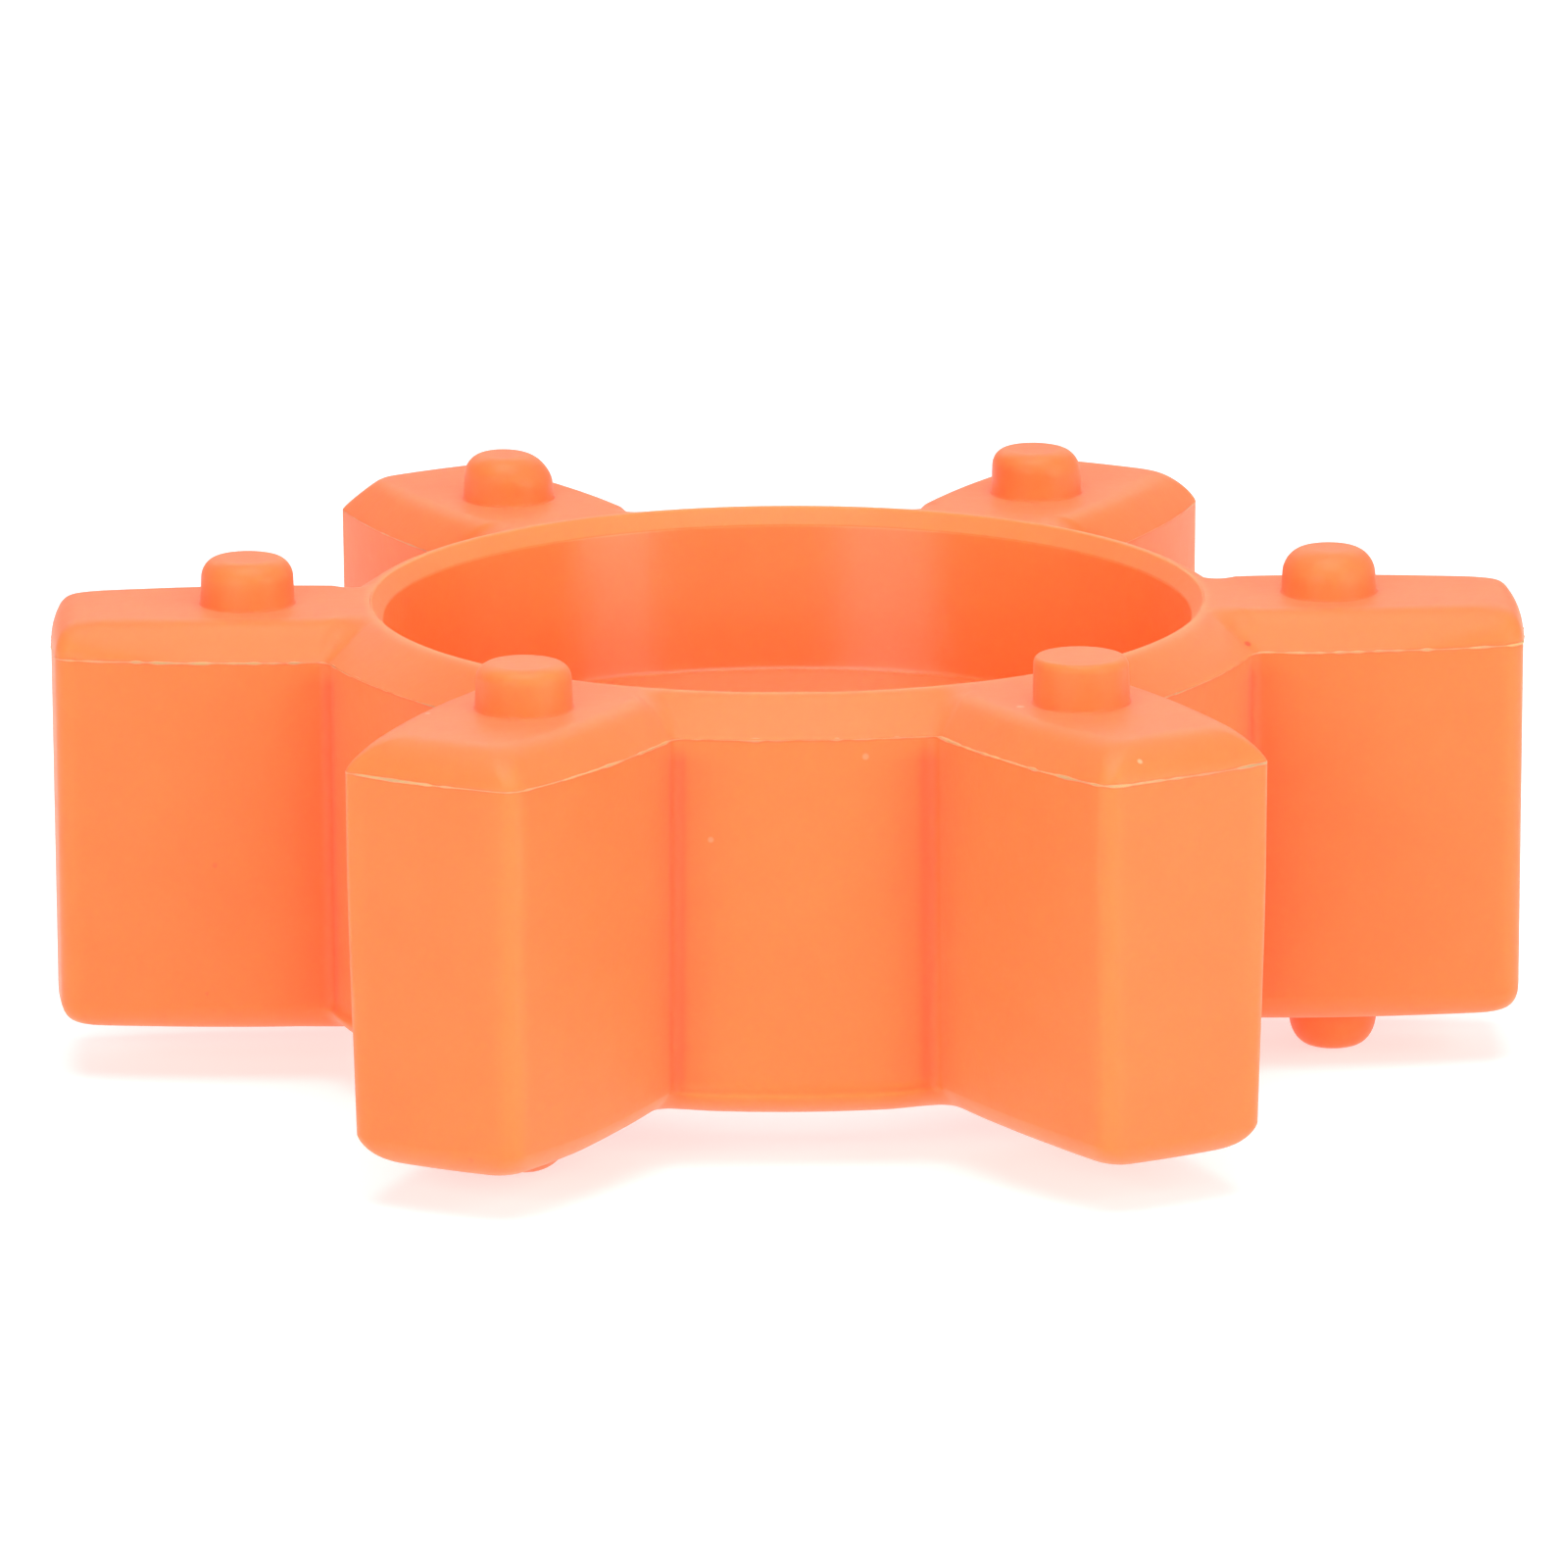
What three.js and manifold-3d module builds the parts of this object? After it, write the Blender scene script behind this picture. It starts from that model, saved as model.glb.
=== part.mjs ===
// Six-leg elastomer spider of a jaw coupling: one polyurethane casting.
//
// An open ring with a flat inner flange carries six radial legs. Two coupling hubs face each other and their
// jaws enter the six pockets between the legs, so the leg flanks carry the torque.
// Round spacer nubs stand on all six legs on the upper side and on every second leg
// on the lower side; they keep the legs off the hub faces. A thin raised bead of
// flash runs round the parting line at the foot of the upper chamfer.
//
// Units are millimetres, +Z is up and is the rotation axis. The origin is on the
// axis, in the plane that the three lower nubs stand on. Leg 0 points along +X and
// legs are counted anticlockwise seen from above.

import * as THREE from 'three';
import { mergeVertices } from 'three/addons/utils/BufferGeometryUtils.js';
import Module from 'manifold-3d';

// ---------------------------------------------------------------- driving dimensions
const LEGS = 6;                    // legs, evenly spaced

const TIP_RADIUS = 40.0;           // middle of a leg's end face, on the parting bead
const TIP_CROWN = 0.34;            // how far the end face bulges past its corners
const TIP_HALF_WIDTH = 5.06;       // half the leg's width at its end
const TIP_CORNER_ROUND = 1.15;     // radius of the upright corner edges

const ROOT_RADIUS = 25.8;          // where flank and ring wall would meet
const ROOT_HALF_ANGLE = 14.3;      // degrees from the leg's middle to that point
const ROOT_FILLET = 0.8;           // radius in the upright inner corner
const FLANK_CROWN = 0.6;           // how far a flank bulges past its chord
const RING_CROWN = 0.7;            // how far the ring wall bulges past its chord

const BODY_HEIGHT = 22.8;          // lower face to upper face, without nubs
const CHAMFER_RUN = 3.2;           // plan width of the upper chamfer
const CHAMFER_RISE = 1.9;          // height of the upper chamfer
const LOWER_CHAMFER_RUN = 2.6;     // plan width of the lower chamfer
const LOWER_CHAMFER_RISE = 1.65;   // height of the lower chamfer
const FACE_CORNER_ROUND = 1.85;    // plan radius at the corners of a leg's flat faces
const FACE_ROOT_FILLET = 2.2;      // plan radius where a leg's flat face meets the ring's rim
const WALL_INSET_TOP = 0.12;       // wall behind the parting bead, just below it
const WALL_INSET_BOTTOM = 0.24;    // the same at the foot of the wall: the mould's draft
const BEAD_HEIGHT = 0.34;          // height of the parting bead

const RIDGE_RADIUS = 22.62;        // upper rim of the ring, where the chamfer ends
const BORE_UPPER_RADIUS = 21.95;   // bore above the inner flange
const FLANGE_DEPTH = 9.1;          // upper face of the ring to the flange
const FLANGE_THICKNESS = 4.6;      // the flange sits about the ring's mid height
const FLANGE_RADIUS = 16.0;        // clear opening inside the flange
const FLANGE_EDGE = 0.35;          // chamfer on both of its inner edges
const BORE_LOWER_RADIUS = 21.3;    // bore below the flange
const BORE_DRAFT = 0.06;           // taper of each bore length, on the radius
const BORE_RIM_DEPTH = 1.08;       // depth of the bevel at the bore's upper end
const LOWER_RIDGE_RADIUS = 22.4;   // lower rim of the ring, where the chamfer ends
const LOWER_LAND_RADIUS = 21.65;   // inner edge of the narrow flat under the ring
const LOWER_RIM_DEPTH = 0.45;      // small chamfer at the bore's lower end

const NUB_CENTRE_RADIUS = 29.4;    // upper nub's axis to the coupling's axis
const LOWER_NUB_CENTRE_RADIUS = 29.7;
const NUB_RADIUS = 2.47;           // nub above its fillet
const NUB_HEIGHT = 2.5;            // every nub, upper and lower
const NUB_FLAT_RADIUS = 1.35;      // flat tip
const NUB_SIDES = 16;
const LOWER_NUB_LEGS = [0, 2, 4];  // legs with a nub underneath

// The chamfer's section, from the wall (0) to the flat face (1) and from 0 to full rise.
// It is a plane with a soft shoulder on the flanks, nearly a plane on the ring, and a
// full round over the leg's end.
const SECTION_STEPS = [0.12, 0.45, 1];
const FLANK_SECTION = [0.165, 0.62, 1];
const RING_SECTION = [0.14, 0.52, 1];
const END_SECTION = [0.44, 0.89, 1];

// stations on half a leg and half a pocket
const N_END = 2, N_CORNER = 3, N_FLANK = 5, N_ROOT = 3, N_RING = 2;

// ---------------------------------------------------------------- levels
const Z_LOWER = NUB_HEIGHT;                            // lower face
const Z_WALL_BOTTOM = Z_LOWER + LOWER_CHAMFER_RISE;    // foot of the upright wall
const Z_UPPER = Z_LOWER + BODY_HEIGHT;                 // upper face
const Z_PARTING = Z_UPPER - CHAMFER_RISE;              // parting line
const Z_FLANGE = Z_UPPER - FLANGE_DEPTH;               // upper face of the inner flange
const Z_FLANGE_UNDER = Z_FLANGE - FLANGE_THICKNESS;    // its lower face

// ---------------------------------------------------------------- plan geometry
const v = (x, y) => new THREE.Vector2(x, y);
const polar = (r, a) => v(r * Math.cos(a), r * Math.sin(a));
const rad = THREE.MathUtils.degToRad;
const mix = (a, b, t) => a + (b - a) * t;

// Circle through a and b that bulges by `crown` to the right of the way from a to b.
function crownedCircle(a, b, crown) {
  const half = a.distanceTo(b) / 2;
  const radius = (half * half + crown * crown) / (2 * crown);
  const along = b.clone().sub(a).normalize();
  const outward = v(along.y, -along.x);
  const centre = a.clone().add(b).multiplyScalar(0.5).addScaledVector(outward, crown - radius);
  return { centre, radius };
}

// The crossing of two circles that lies nearer to `near`.
function crossing(c1, r1, c2, r2, near) {
  const d = c1.distanceTo(c2);
  const along = (d * d + r1 * r1 - r2 * r2) / (2 * d);
  const across = Math.sqrt(Math.max(r1 * r1 - along * along, 0));
  const u = c2.clone().sub(c1).divideScalar(d);
  const foot = c1.clone().addScaledVector(u, along);
  const side = v(-u.y, u.x);
  const p = foot.clone().addScaledVector(side, across);
  const q = foot.clone().addScaledVector(side, -across);
  return p.distanceTo(near) < q.distanceTo(near) ? p : q;
}

// Points on a circle from p to q, the shorter way, at the given shares of the angle.
function along(circle, p, q, shares) {
  const a = Math.atan2(p.y - circle.centre.y, p.x - circle.centre.x);
  let b = Math.atan2(q.y - circle.centre.y, q.x - circle.centre.x);
  if (b - a > Math.PI) b -= 2 * Math.PI;
  if (a - b > Math.PI) b += 2 * Math.PI;
  return shares.map(t => circle.centre.clone().add(polar(circle.radius, mix(a, b, t))));
}

const onCircle = (circle, towards) =>
  circle.centre.clone().add(towards.clone().sub(circle.centre).setLength(circle.radius));

const corner = v(TIP_RADIUS - TIP_CROWN, TIP_HALF_WIDTH);
const root = polar(ROOT_RADIUS, rad(ROOT_HALF_ANGLE));
const nextRoot = polar(ROOT_RADIUS, rad(360 / LEGS - ROOT_HALF_ANGLE));
const endCircle = crownedCircle(v(corner.x, -corner.y), corner, TIP_CROWN);
const flankCircle = crownedCircle(corner, root, FLANK_CROWN);
const ringCircle = crownedCircle(root, nextRoot, RING_CROWN);

// No station sits on the middle of a leg or of a pocket, so that a flat facet lies across
// each, and the middle facet of a flank is flat too.
const END_SHARES = Array.from({ length: N_END }, (_, i) => (i + 0.5) / N_END);
const inner = n => Array.from({ length: n }, (_, i) => i / n);
const RING_SHARES = Array.from({ length: N_RING + 1 }, (_, i) => i / (N_RING + 0.5));
const STATIONS = N_END + N_CORNER + N_FLANK + N_ROOT + RING_SHARES.length;
const LEG_STATIONS = N_END + N_CORNER + N_FLANK + N_ROOT + 1;   // the last one is on the rim

// Half a loop of the outline, from the middle of a leg to the middle of a pocket: end and
// flank inset by `inset`, and the ring wall inset too, or moved the share `toRim` of the
// way to the circle of radius `rim`.
function outlineHalf(inset, toRim = 0, rim = 0) {
  const end = { centre: endCircle.centre, radius: endCircle.radius - inset };
  const flank = { centre: flankCircle.centre, radius: flankCircle.radius - inset };
  const ring = toRim > 0
    ? { centre: ringCircle.centre.clone().multiplyScalar(1 - toRim), radius: mix(ringCircle.radius, rim, toRim) }
    : { centre: ringCircle.centre, radius: ringCircle.radius - inset };
  const round = mix(TIP_CORNER_ROUND, FACE_CORNER_ROUND, toRim);
  const fillet = mix(ROOT_FILLET, FACE_ROOT_FILLET, toRim);
  const cornerCentre = crossing(end.centre, end.radius - round, flank.centre, flank.radius - round, corner);
  const rootCentre = crossing(flank.centre, flank.radius + fillet, ring.centre, ring.radius + fillet, root);
  const c0 = onCircle(end, cornerCentre), c1 = onCircle(flank, cornerCentre);
  const r0 = onCircle(flank, rootCentre), r1 = onCircle(ring, rootCentre);
  const middle = onCircle(ring, polar(TIP_RADIUS, rad(180 / LEGS)));
  return [
    ...along(end, v(end.centre.x + end.radius, 0), c0, END_SHARES),
    ...along({ centre: cornerCentre, radius: round }, c0, c1, inner(N_CORNER)),
    ...along(flank, c1, r0, inner(N_FLANK)),
    ...along({ centre: rootCentre, radius: fillet }, r0, r1, inner(N_ROOT)),
    ...along(ring, r1, middle, RING_SHARES),
  ];
}

// Half of a circle with a station for each one of the rim: on the rim's own bearings along
// the ring, and evenly spread under the leg.
function circleHalf(rim, radius) {
  const edge = Math.atan2(rim[LEG_STATIONS - 1].y, rim[LEG_STATIONS - 1].x);
  return rim.map((p, i) => polar(radius, i >= LEG_STATIONS - 1
    ? Math.atan2(p.y, p.x) : edge * (i + 0.5) / (LEG_STATIONS - 0.5)));
}

// Height of a chamfer at each station of half a loop.
function sectionHalf(step, rise) {
  return Array.from({ length: STATIONS }, (_, i) => {
    const onEnd = i < N_END + N_CORNER ? 1 : i === N_END + N_CORNER ? 0.5 : 0;
    const onRing = i >= STATIONS - RING_SHARES.length ? 1 : i >= N_END + N_CORNER + N_FLANK ? 0.5 : 0;
    return rise * (onEnd * END_SECTION[step] + onRing * RING_SECTION[step]
      + (1 - onEnd - onRing) * FLANK_SECTION[step]);
  });
}

// A whole loop from a half: mirrored in the leg's middle and turned about the axis. Heights
// are one number, or one number for each station of the half.
function loop(half, z) {
  const out = [];
  const height = i => (Array.isArray(z) ? z[i] : z);
  const sector = [...half.map((p, i) => [p.x, -p.y, height(i)]).reverse(), ...half.map((p, i) => [p.x, p.y, height(i)])];
  for (let k = 0; k < LEGS; k++) {
    const a = rad(360 / LEGS * k), c = Math.cos(a), s = Math.sin(a);
    for (const [x, y, h] of sector) out.push([c * x - s * y, s * x + c * y, h]);
  }
  return out;
}

// ---------------------------------------------------------------- the ring and its legs
// Closed loops in the order that they follow round the section: up the wall, over the
// upper chamfer and face, down the bore, round the inner flange, across the lower face
// and out to the wall.
function bodyGeometry() {
  const upperRim = outlineHalf(CHAMFER_RUN, 1, RIDGE_RADIUS);
  const lowerRim = outlineHalf(LOWER_CHAMFER_RUN + WALL_INSET_BOTTOM, 1, LOWER_RIDGE_RADIUS);
  const bore = radius => circleHalf(upperRim, radius);
  const lower = radius => circleHalf(lowerRim, radius);
  const upperChamfer = [0, 1].map(k => loop(outlineHalf(CHAMFER_RUN * SECTION_STEPS[k], SECTION_STEPS[k], RIDGE_RADIUS),
    sectionHalf(k, CHAMFER_RISE).map(h => Z_PARTING + h)));
  const lowerChamfer = [1, 0].map(k => loop(
    outlineHalf(WALL_INSET_BOTTOM + LOWER_CHAMFER_RUN * SECTION_STEPS[k], SECTION_STEPS[k], LOWER_RIDGE_RADIUS),
    sectionHalf(k, LOWER_CHAMFER_RISE).map(h => Z_WALL_BOTTOM - h)));
  const loops = [
    loop(outlineHalf(WALL_INSET_BOTTOM), Z_WALL_BOTTOM),
    loop(outlineHalf(WALL_INSET_TOP), Z_PARTING - BEAD_HEIGHT),
    loop(outlineHalf(0), Z_PARTING - BEAD_HEIGHT / 2),
    loop(outlineHalf(WALL_INSET_TOP), Z_PARTING),
    ...upperChamfer,
    loop(upperRim, Z_UPPER),
    loop(bore(RIDGE_RADIUS), Z_UPPER),
    loop(bore(RIDGE_RADIUS - 0.42), Z_UPPER - BORE_RIM_DEPTH * 0.35),
    loop(bore(BORE_UPPER_RADIUS), Z_UPPER - BORE_RIM_DEPTH),
    loop(bore(BORE_UPPER_RADIUS - BORE_DRAFT), Z_FLANGE),
    loop(bore(FLANGE_RADIUS + FLANGE_EDGE), Z_FLANGE),
    loop(bore(FLANGE_RADIUS), Z_FLANGE - FLANGE_EDGE),
    loop(lower(FLANGE_RADIUS), Z_FLANGE_UNDER + FLANGE_EDGE),
    loop(lower(FLANGE_RADIUS + FLANGE_EDGE), Z_FLANGE_UNDER),
    loop(lower(BORE_LOWER_RADIUS), Z_FLANGE_UNDER),
    loop(lower(BORE_LOWER_RADIUS - BORE_DRAFT), Z_LOWER + LOWER_RIM_DEPTH),
    loop(lower(LOWER_LAND_RADIUS), Z_LOWER),
    loop(lower(LOWER_RIDGE_RADIUS), Z_LOWER),
    loop(lowerRim, Z_LOWER),
    ...lowerChamfer,
  ];
  const count = loops[0].length, rows = loops.length;
  const positions = loops.flat(2);
  const index = [];
  const same = (p, q) => Math.hypot(p[0] - q[0], p[1] - q[1], p[2] - q[2]) < 1e-5;
  const face = (p, q, r) => {
    const at = [p, q, r].map(([j, i]) => loops[j][i]);
    if (same(at[0], at[1]) || same(at[1], at[2]) || same(at[2], at[0])) return;
    for (const [j, i] of [p, q, r]) index.push(j * count + i);
  };
  for (let j = 0; j < rows; j++) {
    for (let i = 0; i < count; i++) {
      const a = [j, i], b = [j, (i + 1) % count], c = [(j + 1) % rows, (i + 1) % count], d = [(j + 1) % rows, i];
      face(a, b, c);
      face(a, c, d);
    }
  }
  const geometry = new THREE.BufferGeometry();
  geometry.setAttribute('position', new THREE.Float32BufferAttribute(positions, 3));
  geometry.setIndex(index);
  return mergeVertices(geometry, 1e-4);
}

// ---------------------------------------------------------------- a nub
// A round spacer with a filleted foot and a rounded tip. Its foot reaches into the leg.
function nubGeometry(leg, upper) {
  const r = NUB_RADIUS, h = NUB_HEIGHT;
  const profile = [
    v(0, -0.9), v(r + 0.3, -0.9), v(r + 0.3, -0.06), v(r, 0.5), v(r - 0.1, h * 0.68), v(r * 0.83, h * 0.9),
    v(NUB_FLAT_RADIUS, h), v(0, h),
  ];
  const geometry = new THREE.LatheGeometry(profile, NUB_SIDES);
  geometry.deleteAttribute('normal');
  geometry.deleteAttribute('uv');
  geometry.rotateX(Math.PI / 2);                 // the lathe's own axis is Y
  if (!upper) geometry.rotateX(Math.PI);
  geometry.translate(upper ? NUB_CENTRE_RADIUS : LOWER_NUB_CENTRE_RADIUS, 0, upper ? Z_UPPER : Z_LOWER);
  geometry.rotateZ(rad(360 / LEGS * leg));
  return mergeVertices(geometry, 1e-4);
}

// ---------------------------------------------------------------- one casting
const wasm = await Module();
wasm.setup();

function solid(geometry) {
  const vertProperties = new Float32Array(geometry.attributes.position.array);
  const triVerts = new Uint32Array(geometry.index.array);
  const made = new wasm.Manifold(new wasm.Mesh({ numProp: 3, vertProperties, triVerts }));
  if (made.status() !== 'NoError' && made.status() !== 0) throw new Error('not closed: ' + made.status());
  return made;
}

let casting = solid(bodyGeometry());
for (let leg = 0; leg < LEGS; leg++) casting = casting.add(solid(nubGeometry(leg, true)));
for (const leg of LOWER_NUB_LEGS) casting = casting.add(solid(nubGeometry(leg, false)));

const result = casting.getMesh();
const castingGeometry = new THREE.BufferGeometry();
castingGeometry.setAttribute('position', new THREE.Float32BufferAttribute(result.vertProperties, 3));
castingGeometry.setIndex(Array.from(result.triVerts));
castingGeometry.computeVertexNormals();

const polyurethane = new THREE.MeshStandardMaterial({ color: 0xff7a3d, roughness: 0.42, metalness: 0 });
polyurethane.name = 'orange_polyurethane';

const spider = new THREE.Mesh(castingGeometry, polyurethane);
spider.name = 'spider';

const group = new THREE.Group();
group.name = 'jaw_coupling_spider';
group.add(spider);

export default group;
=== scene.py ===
import math

import bpy
import numpy as np
from mathutils import Matrix, Vector


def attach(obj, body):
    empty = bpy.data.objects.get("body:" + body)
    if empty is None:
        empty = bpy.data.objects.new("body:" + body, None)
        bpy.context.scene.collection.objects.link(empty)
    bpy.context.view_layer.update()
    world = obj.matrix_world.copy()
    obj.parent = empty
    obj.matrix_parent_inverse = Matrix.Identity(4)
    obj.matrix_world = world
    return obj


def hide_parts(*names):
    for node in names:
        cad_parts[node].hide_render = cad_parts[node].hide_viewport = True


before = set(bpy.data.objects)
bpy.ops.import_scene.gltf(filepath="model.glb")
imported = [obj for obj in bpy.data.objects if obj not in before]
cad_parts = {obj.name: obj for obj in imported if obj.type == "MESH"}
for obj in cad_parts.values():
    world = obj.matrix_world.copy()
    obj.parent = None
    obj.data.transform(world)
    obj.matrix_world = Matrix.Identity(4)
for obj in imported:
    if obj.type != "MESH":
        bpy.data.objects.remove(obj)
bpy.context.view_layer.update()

# All shape dimensions are in millimetres, in the CAD's frame: +Z up along the axis, z = 0
# at the lower nub tips, +X along the middle of leg 0.
MM = 0.001

# ------------------------------------------------------------------ shape
LEGS = 6
TIP_RADIUS = 40.0
TIP_CROWN = 0.34
TIP_HALF_WIDTH = 5.06
CORNER_ROUND = 1.15
ROOT_RADIUS = 25.8
ROOT_ANGLE = 14.3
ROOT_FILLET = 0.7
FLANK_CROWN = 0.6
RING_CROWN = 0.7

NUB_HEIGHT = 2.5
BODY_HEIGHT = 22.8
Z_LOWER = NUB_HEIGHT
Z_UPPER = Z_LOWER + BODY_HEIGHT
RUN, RISE = 3.2, 1.9                 # upper chamfer
RUN_B, RISE_B = 2.6, 1.65            # lower chamfer
Z_PARTING = Z_UPPER - RISE
Z_FOOT = Z_LOWER + RISE_B
INSET_TOP, INSET_FOOT = 0.10, 0.24
FACE_CORNER, FACE_FILLET = 1.85, 1.5
CORNER_BOTTOM = 1.25
FACE_CORNER_B = 1.7

RIDGE = 22.62
RIDGE_B = 22.4
LAND_B = 21.65
BORE_UP = 21.90
BORE_LOW = 21.3
DRAFT = 0.06
LEDGE_DEPTH = 9.1
WEB_R, WEB_T, WEB_FALL = 16.0, 4.6, 0.0
RIM_DEPTH = 1.0

NUB_AT = 29.4
NUB_AT_B = 29.7
NUB_R = 2.47

# stations on half a leg and half a pocket
N_END, N_CORNER, N_FLANK, N_ROOT, N_RING = 8, 9, 28, 9, 16
ACROSS = 16                          # columns under a leg, between its two root fillets


def polar(r, a):
    return np.array([r * math.cos(a), r * math.sin(a)])


def crowned(a, b, crown):
    a, b = np.asarray(a, float), np.asarray(b, float)
    h = np.linalg.norm(b - a) / 2
    r = (h * h + crown * crown) / (2 * crown)
    t = (b - a) / np.linalg.norm(b - a)
    return (a + b) / 2 + np.array([t[1], -t[0]]) * (crown - r), r


def crossing(c1, r1, c2, r2, near):
    d = np.linalg.norm(c2 - c1)
    al = (d * d + r1 * r1 - r2 * r2) / (2 * d)
    ac = math.sqrt(max(r1 * r1 - al * al, 0.0))
    u = (c2 - c1) / d
    foot = c1 + u * al
    s = np.array([-u[1], u[0]])
    p, q = foot + s * ac, foot - s * ac
    return p if np.linalg.norm(p - near) < np.linalg.norm(q - near) else q


def arc(c, r, a, b, ts):
    A = math.atan2(a[1] - c[1], a[0] - c[0])
    B = math.atan2(b[1] - c[1], b[0] - c[0])
    if B - A > math.pi:
        B -= 2 * math.pi
    if A - B > math.pi:
        B += 2 * math.pi
    an = A + (B - A) * np.asarray(ts)
    return c + r * np.stack([np.cos(an), np.sin(an)], -1)


def on_circle(c, r, towards):
    v = towards - c
    return c + v * (r / np.linalg.norm(v))


ROOT = polar(ROOT_RADIUS, math.radians(ROOT_ANGLE))
NEXT_ROOT = polar(ROOT_RADIUS, math.radians(60 - ROOT_ANGLE))
RING_C, RING_R = crowned(ROOT, NEXT_ROOT, RING_CROWN)

# A hand-trimmed casting: some corners are sharper or stand a little further out, and some
# flanks run a little wider at their root. (leg, side) -> corner radius share, extra half
# width at the tip, extra degrees at the root.
UNEVEN = {
    (4, -1): (0.40, 0.16, 0.0), (5, 1): (0.45, 0.18, 0.0), (4, 1): (1.0, 0.0, 0.65),
    (3, 1): (0.9, 0.0, 0.0), (0, -1): (1.05, 0.0, -0.3), (5, -1): (0.9, 0.0, 0.0),
}


def ease(n, k=0.55):
    """n shares from 0 on, a little closer together at both ends."""
    t = np.arange(n) / n
    return t - k * np.sin(2 * math.pi * t) / (2 * math.pi)


def half(leg, side, inset, corner, fillet, u=0.0, rim=0.0, trim=1.0):
    """Half an outline, leg's middle to pocket's middle, as an (n, 2) array."""
    share, wider, turned = UNEVEN.get((leg, side), (1.0, 0.0, 0.0))
    share, wider = 1 - (1 - share) * trim, wider * trim
    corner = corner * (share + (1 - share) * min(u * 1.5, 1.0))
    tip = np.array([TIP_RADIUS - TIP_CROWN, TIP_HALF_WIDTH + wider])
    foot = polar(ROOT_RADIUS, math.radians(ROOT_ANGLE + turned * (1 - u)))
    cE, rE = crowned([tip[0], -tip[1]], tip, TIP_CROWN)
    cF, rF = crowned(tip, foot, FLANK_CROWN)
    rE, rF = rE - inset, rF - inset
    cG = RING_C * (1 - u)
    rG = RING_R * (1 - u) + rim * u if u > 0 else RING_R - inset
    cc = crossing(cE, rE - corner, cF, rF - corner, tip)
    rr = crossing(cF, rF + fillet, cG, rG + fillet, foot)
    c0, c1 = on_circle(cE, rE, cc), on_circle(cF, rF, cc)
    r0, r1 = on_circle(cF, rF, rr), on_circle(cG, rG, rr)
    mid = on_circle(cG, rG, polar(30, math.radians(30)))
    return np.vstack([
        arc(cE, rE, np.array([cE[0] + rE, 0.0]), c0, np.arange(N_END) / N_END),
        arc(cc, corner, c0, c1, np.arange(N_CORNER) / N_CORNER),
        arc(cF, rF, c1, r0, ease(N_FLANK)),
        arc(rr, fillet, r0, r1, np.arange(N_ROOT) / N_ROOT),
        arc(cG, rG, r1, mid, np.linspace(0, 1, N_RING + 1) ** 1.35),
    ])


HALF = N_END + N_CORNER + N_FLANK + N_ROOT + N_RING + 1
FILLET_FROM = N_END + N_CORNER + N_FLANK           # first fillet station
RIM_FROM = FILLET_FROM + N_ROOT                     # first station on the rim
SECTOR = 2 * (HALF - 1)                             # from -30 up to, not including, +30 degrees
MID = HALF - 1                                      # the leg's middle within a sector


def turn(xy, k):
    c, s = math.cos(k * math.pi / 3), math.sin(k * math.pi / 3)
    return xy @ np.array([[c, s], [-s, c]])


def full(make):
    """A whole outline. make(leg, side) gives each half, side +1 counterclockwise."""
    out = []
    for k in range(LEGS):
        lo, hi = make(k, -1), make(k, +1)
        out.append(turn(np.vstack([lo[1:][::-1] * [1, -1], hi[:-1]]), k))
    return np.vstack(out)


def station_weights():
    """Share of end, flank and ring section at each station of a sector."""
    end = np.concatenate([np.ones(N_END), 1 - 0.45 * np.linspace(0, 1, N_CORNER, endpoint=False),
                          0.55 * np.clip(1 - 1.8 * ease(N_FLANK), 0, 1), np.zeros(N_ROOT + N_RING + 1)])
    end = end * end * (3 - 2 * end)
    ring = np.concatenate([np.zeros(FILLET_FROM), np.linspace(0, 1, N_ROOT + 2)[1:-1], np.ones(N_RING + 1)])
    w = np.stack([end, 1 - end - ring, ring])
    return np.tile(np.concatenate([w[:, 1:][:, ::-1], w[:, :-1]], 1), (1, LEGS))


W_END, W_FLANK, W_RING = station_weights()
LEG_OF = np.repeat(np.arange(LEGS), SECTOR)
CRISP = np.isin(LEG_OF, (0, 3)).astype(float)     # legs whose end is rounded over more tightly
FLAT_END = (LEG_OF == 2).astype(float)                   # the leg with a nearly plane end chamfer
CRISP_B = np.isin(LEG_OF, (0, 3)).astype(float)


def curve(u, p, q):
    return (1 - (1 - u) ** p) ** (1 / q)


def plane_then_round(u, u1, u2):
    """A straight rise up to u1 that is rounded off to level at u2."""
    s = 1 / ((u1 + u2) / 2)
    if u <= u1:
        return s * u
    if u >= u2:
        return 1.0
    return 1 - s * (u2 - u) ** 2 / (2 * (u2 - u1))


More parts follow.
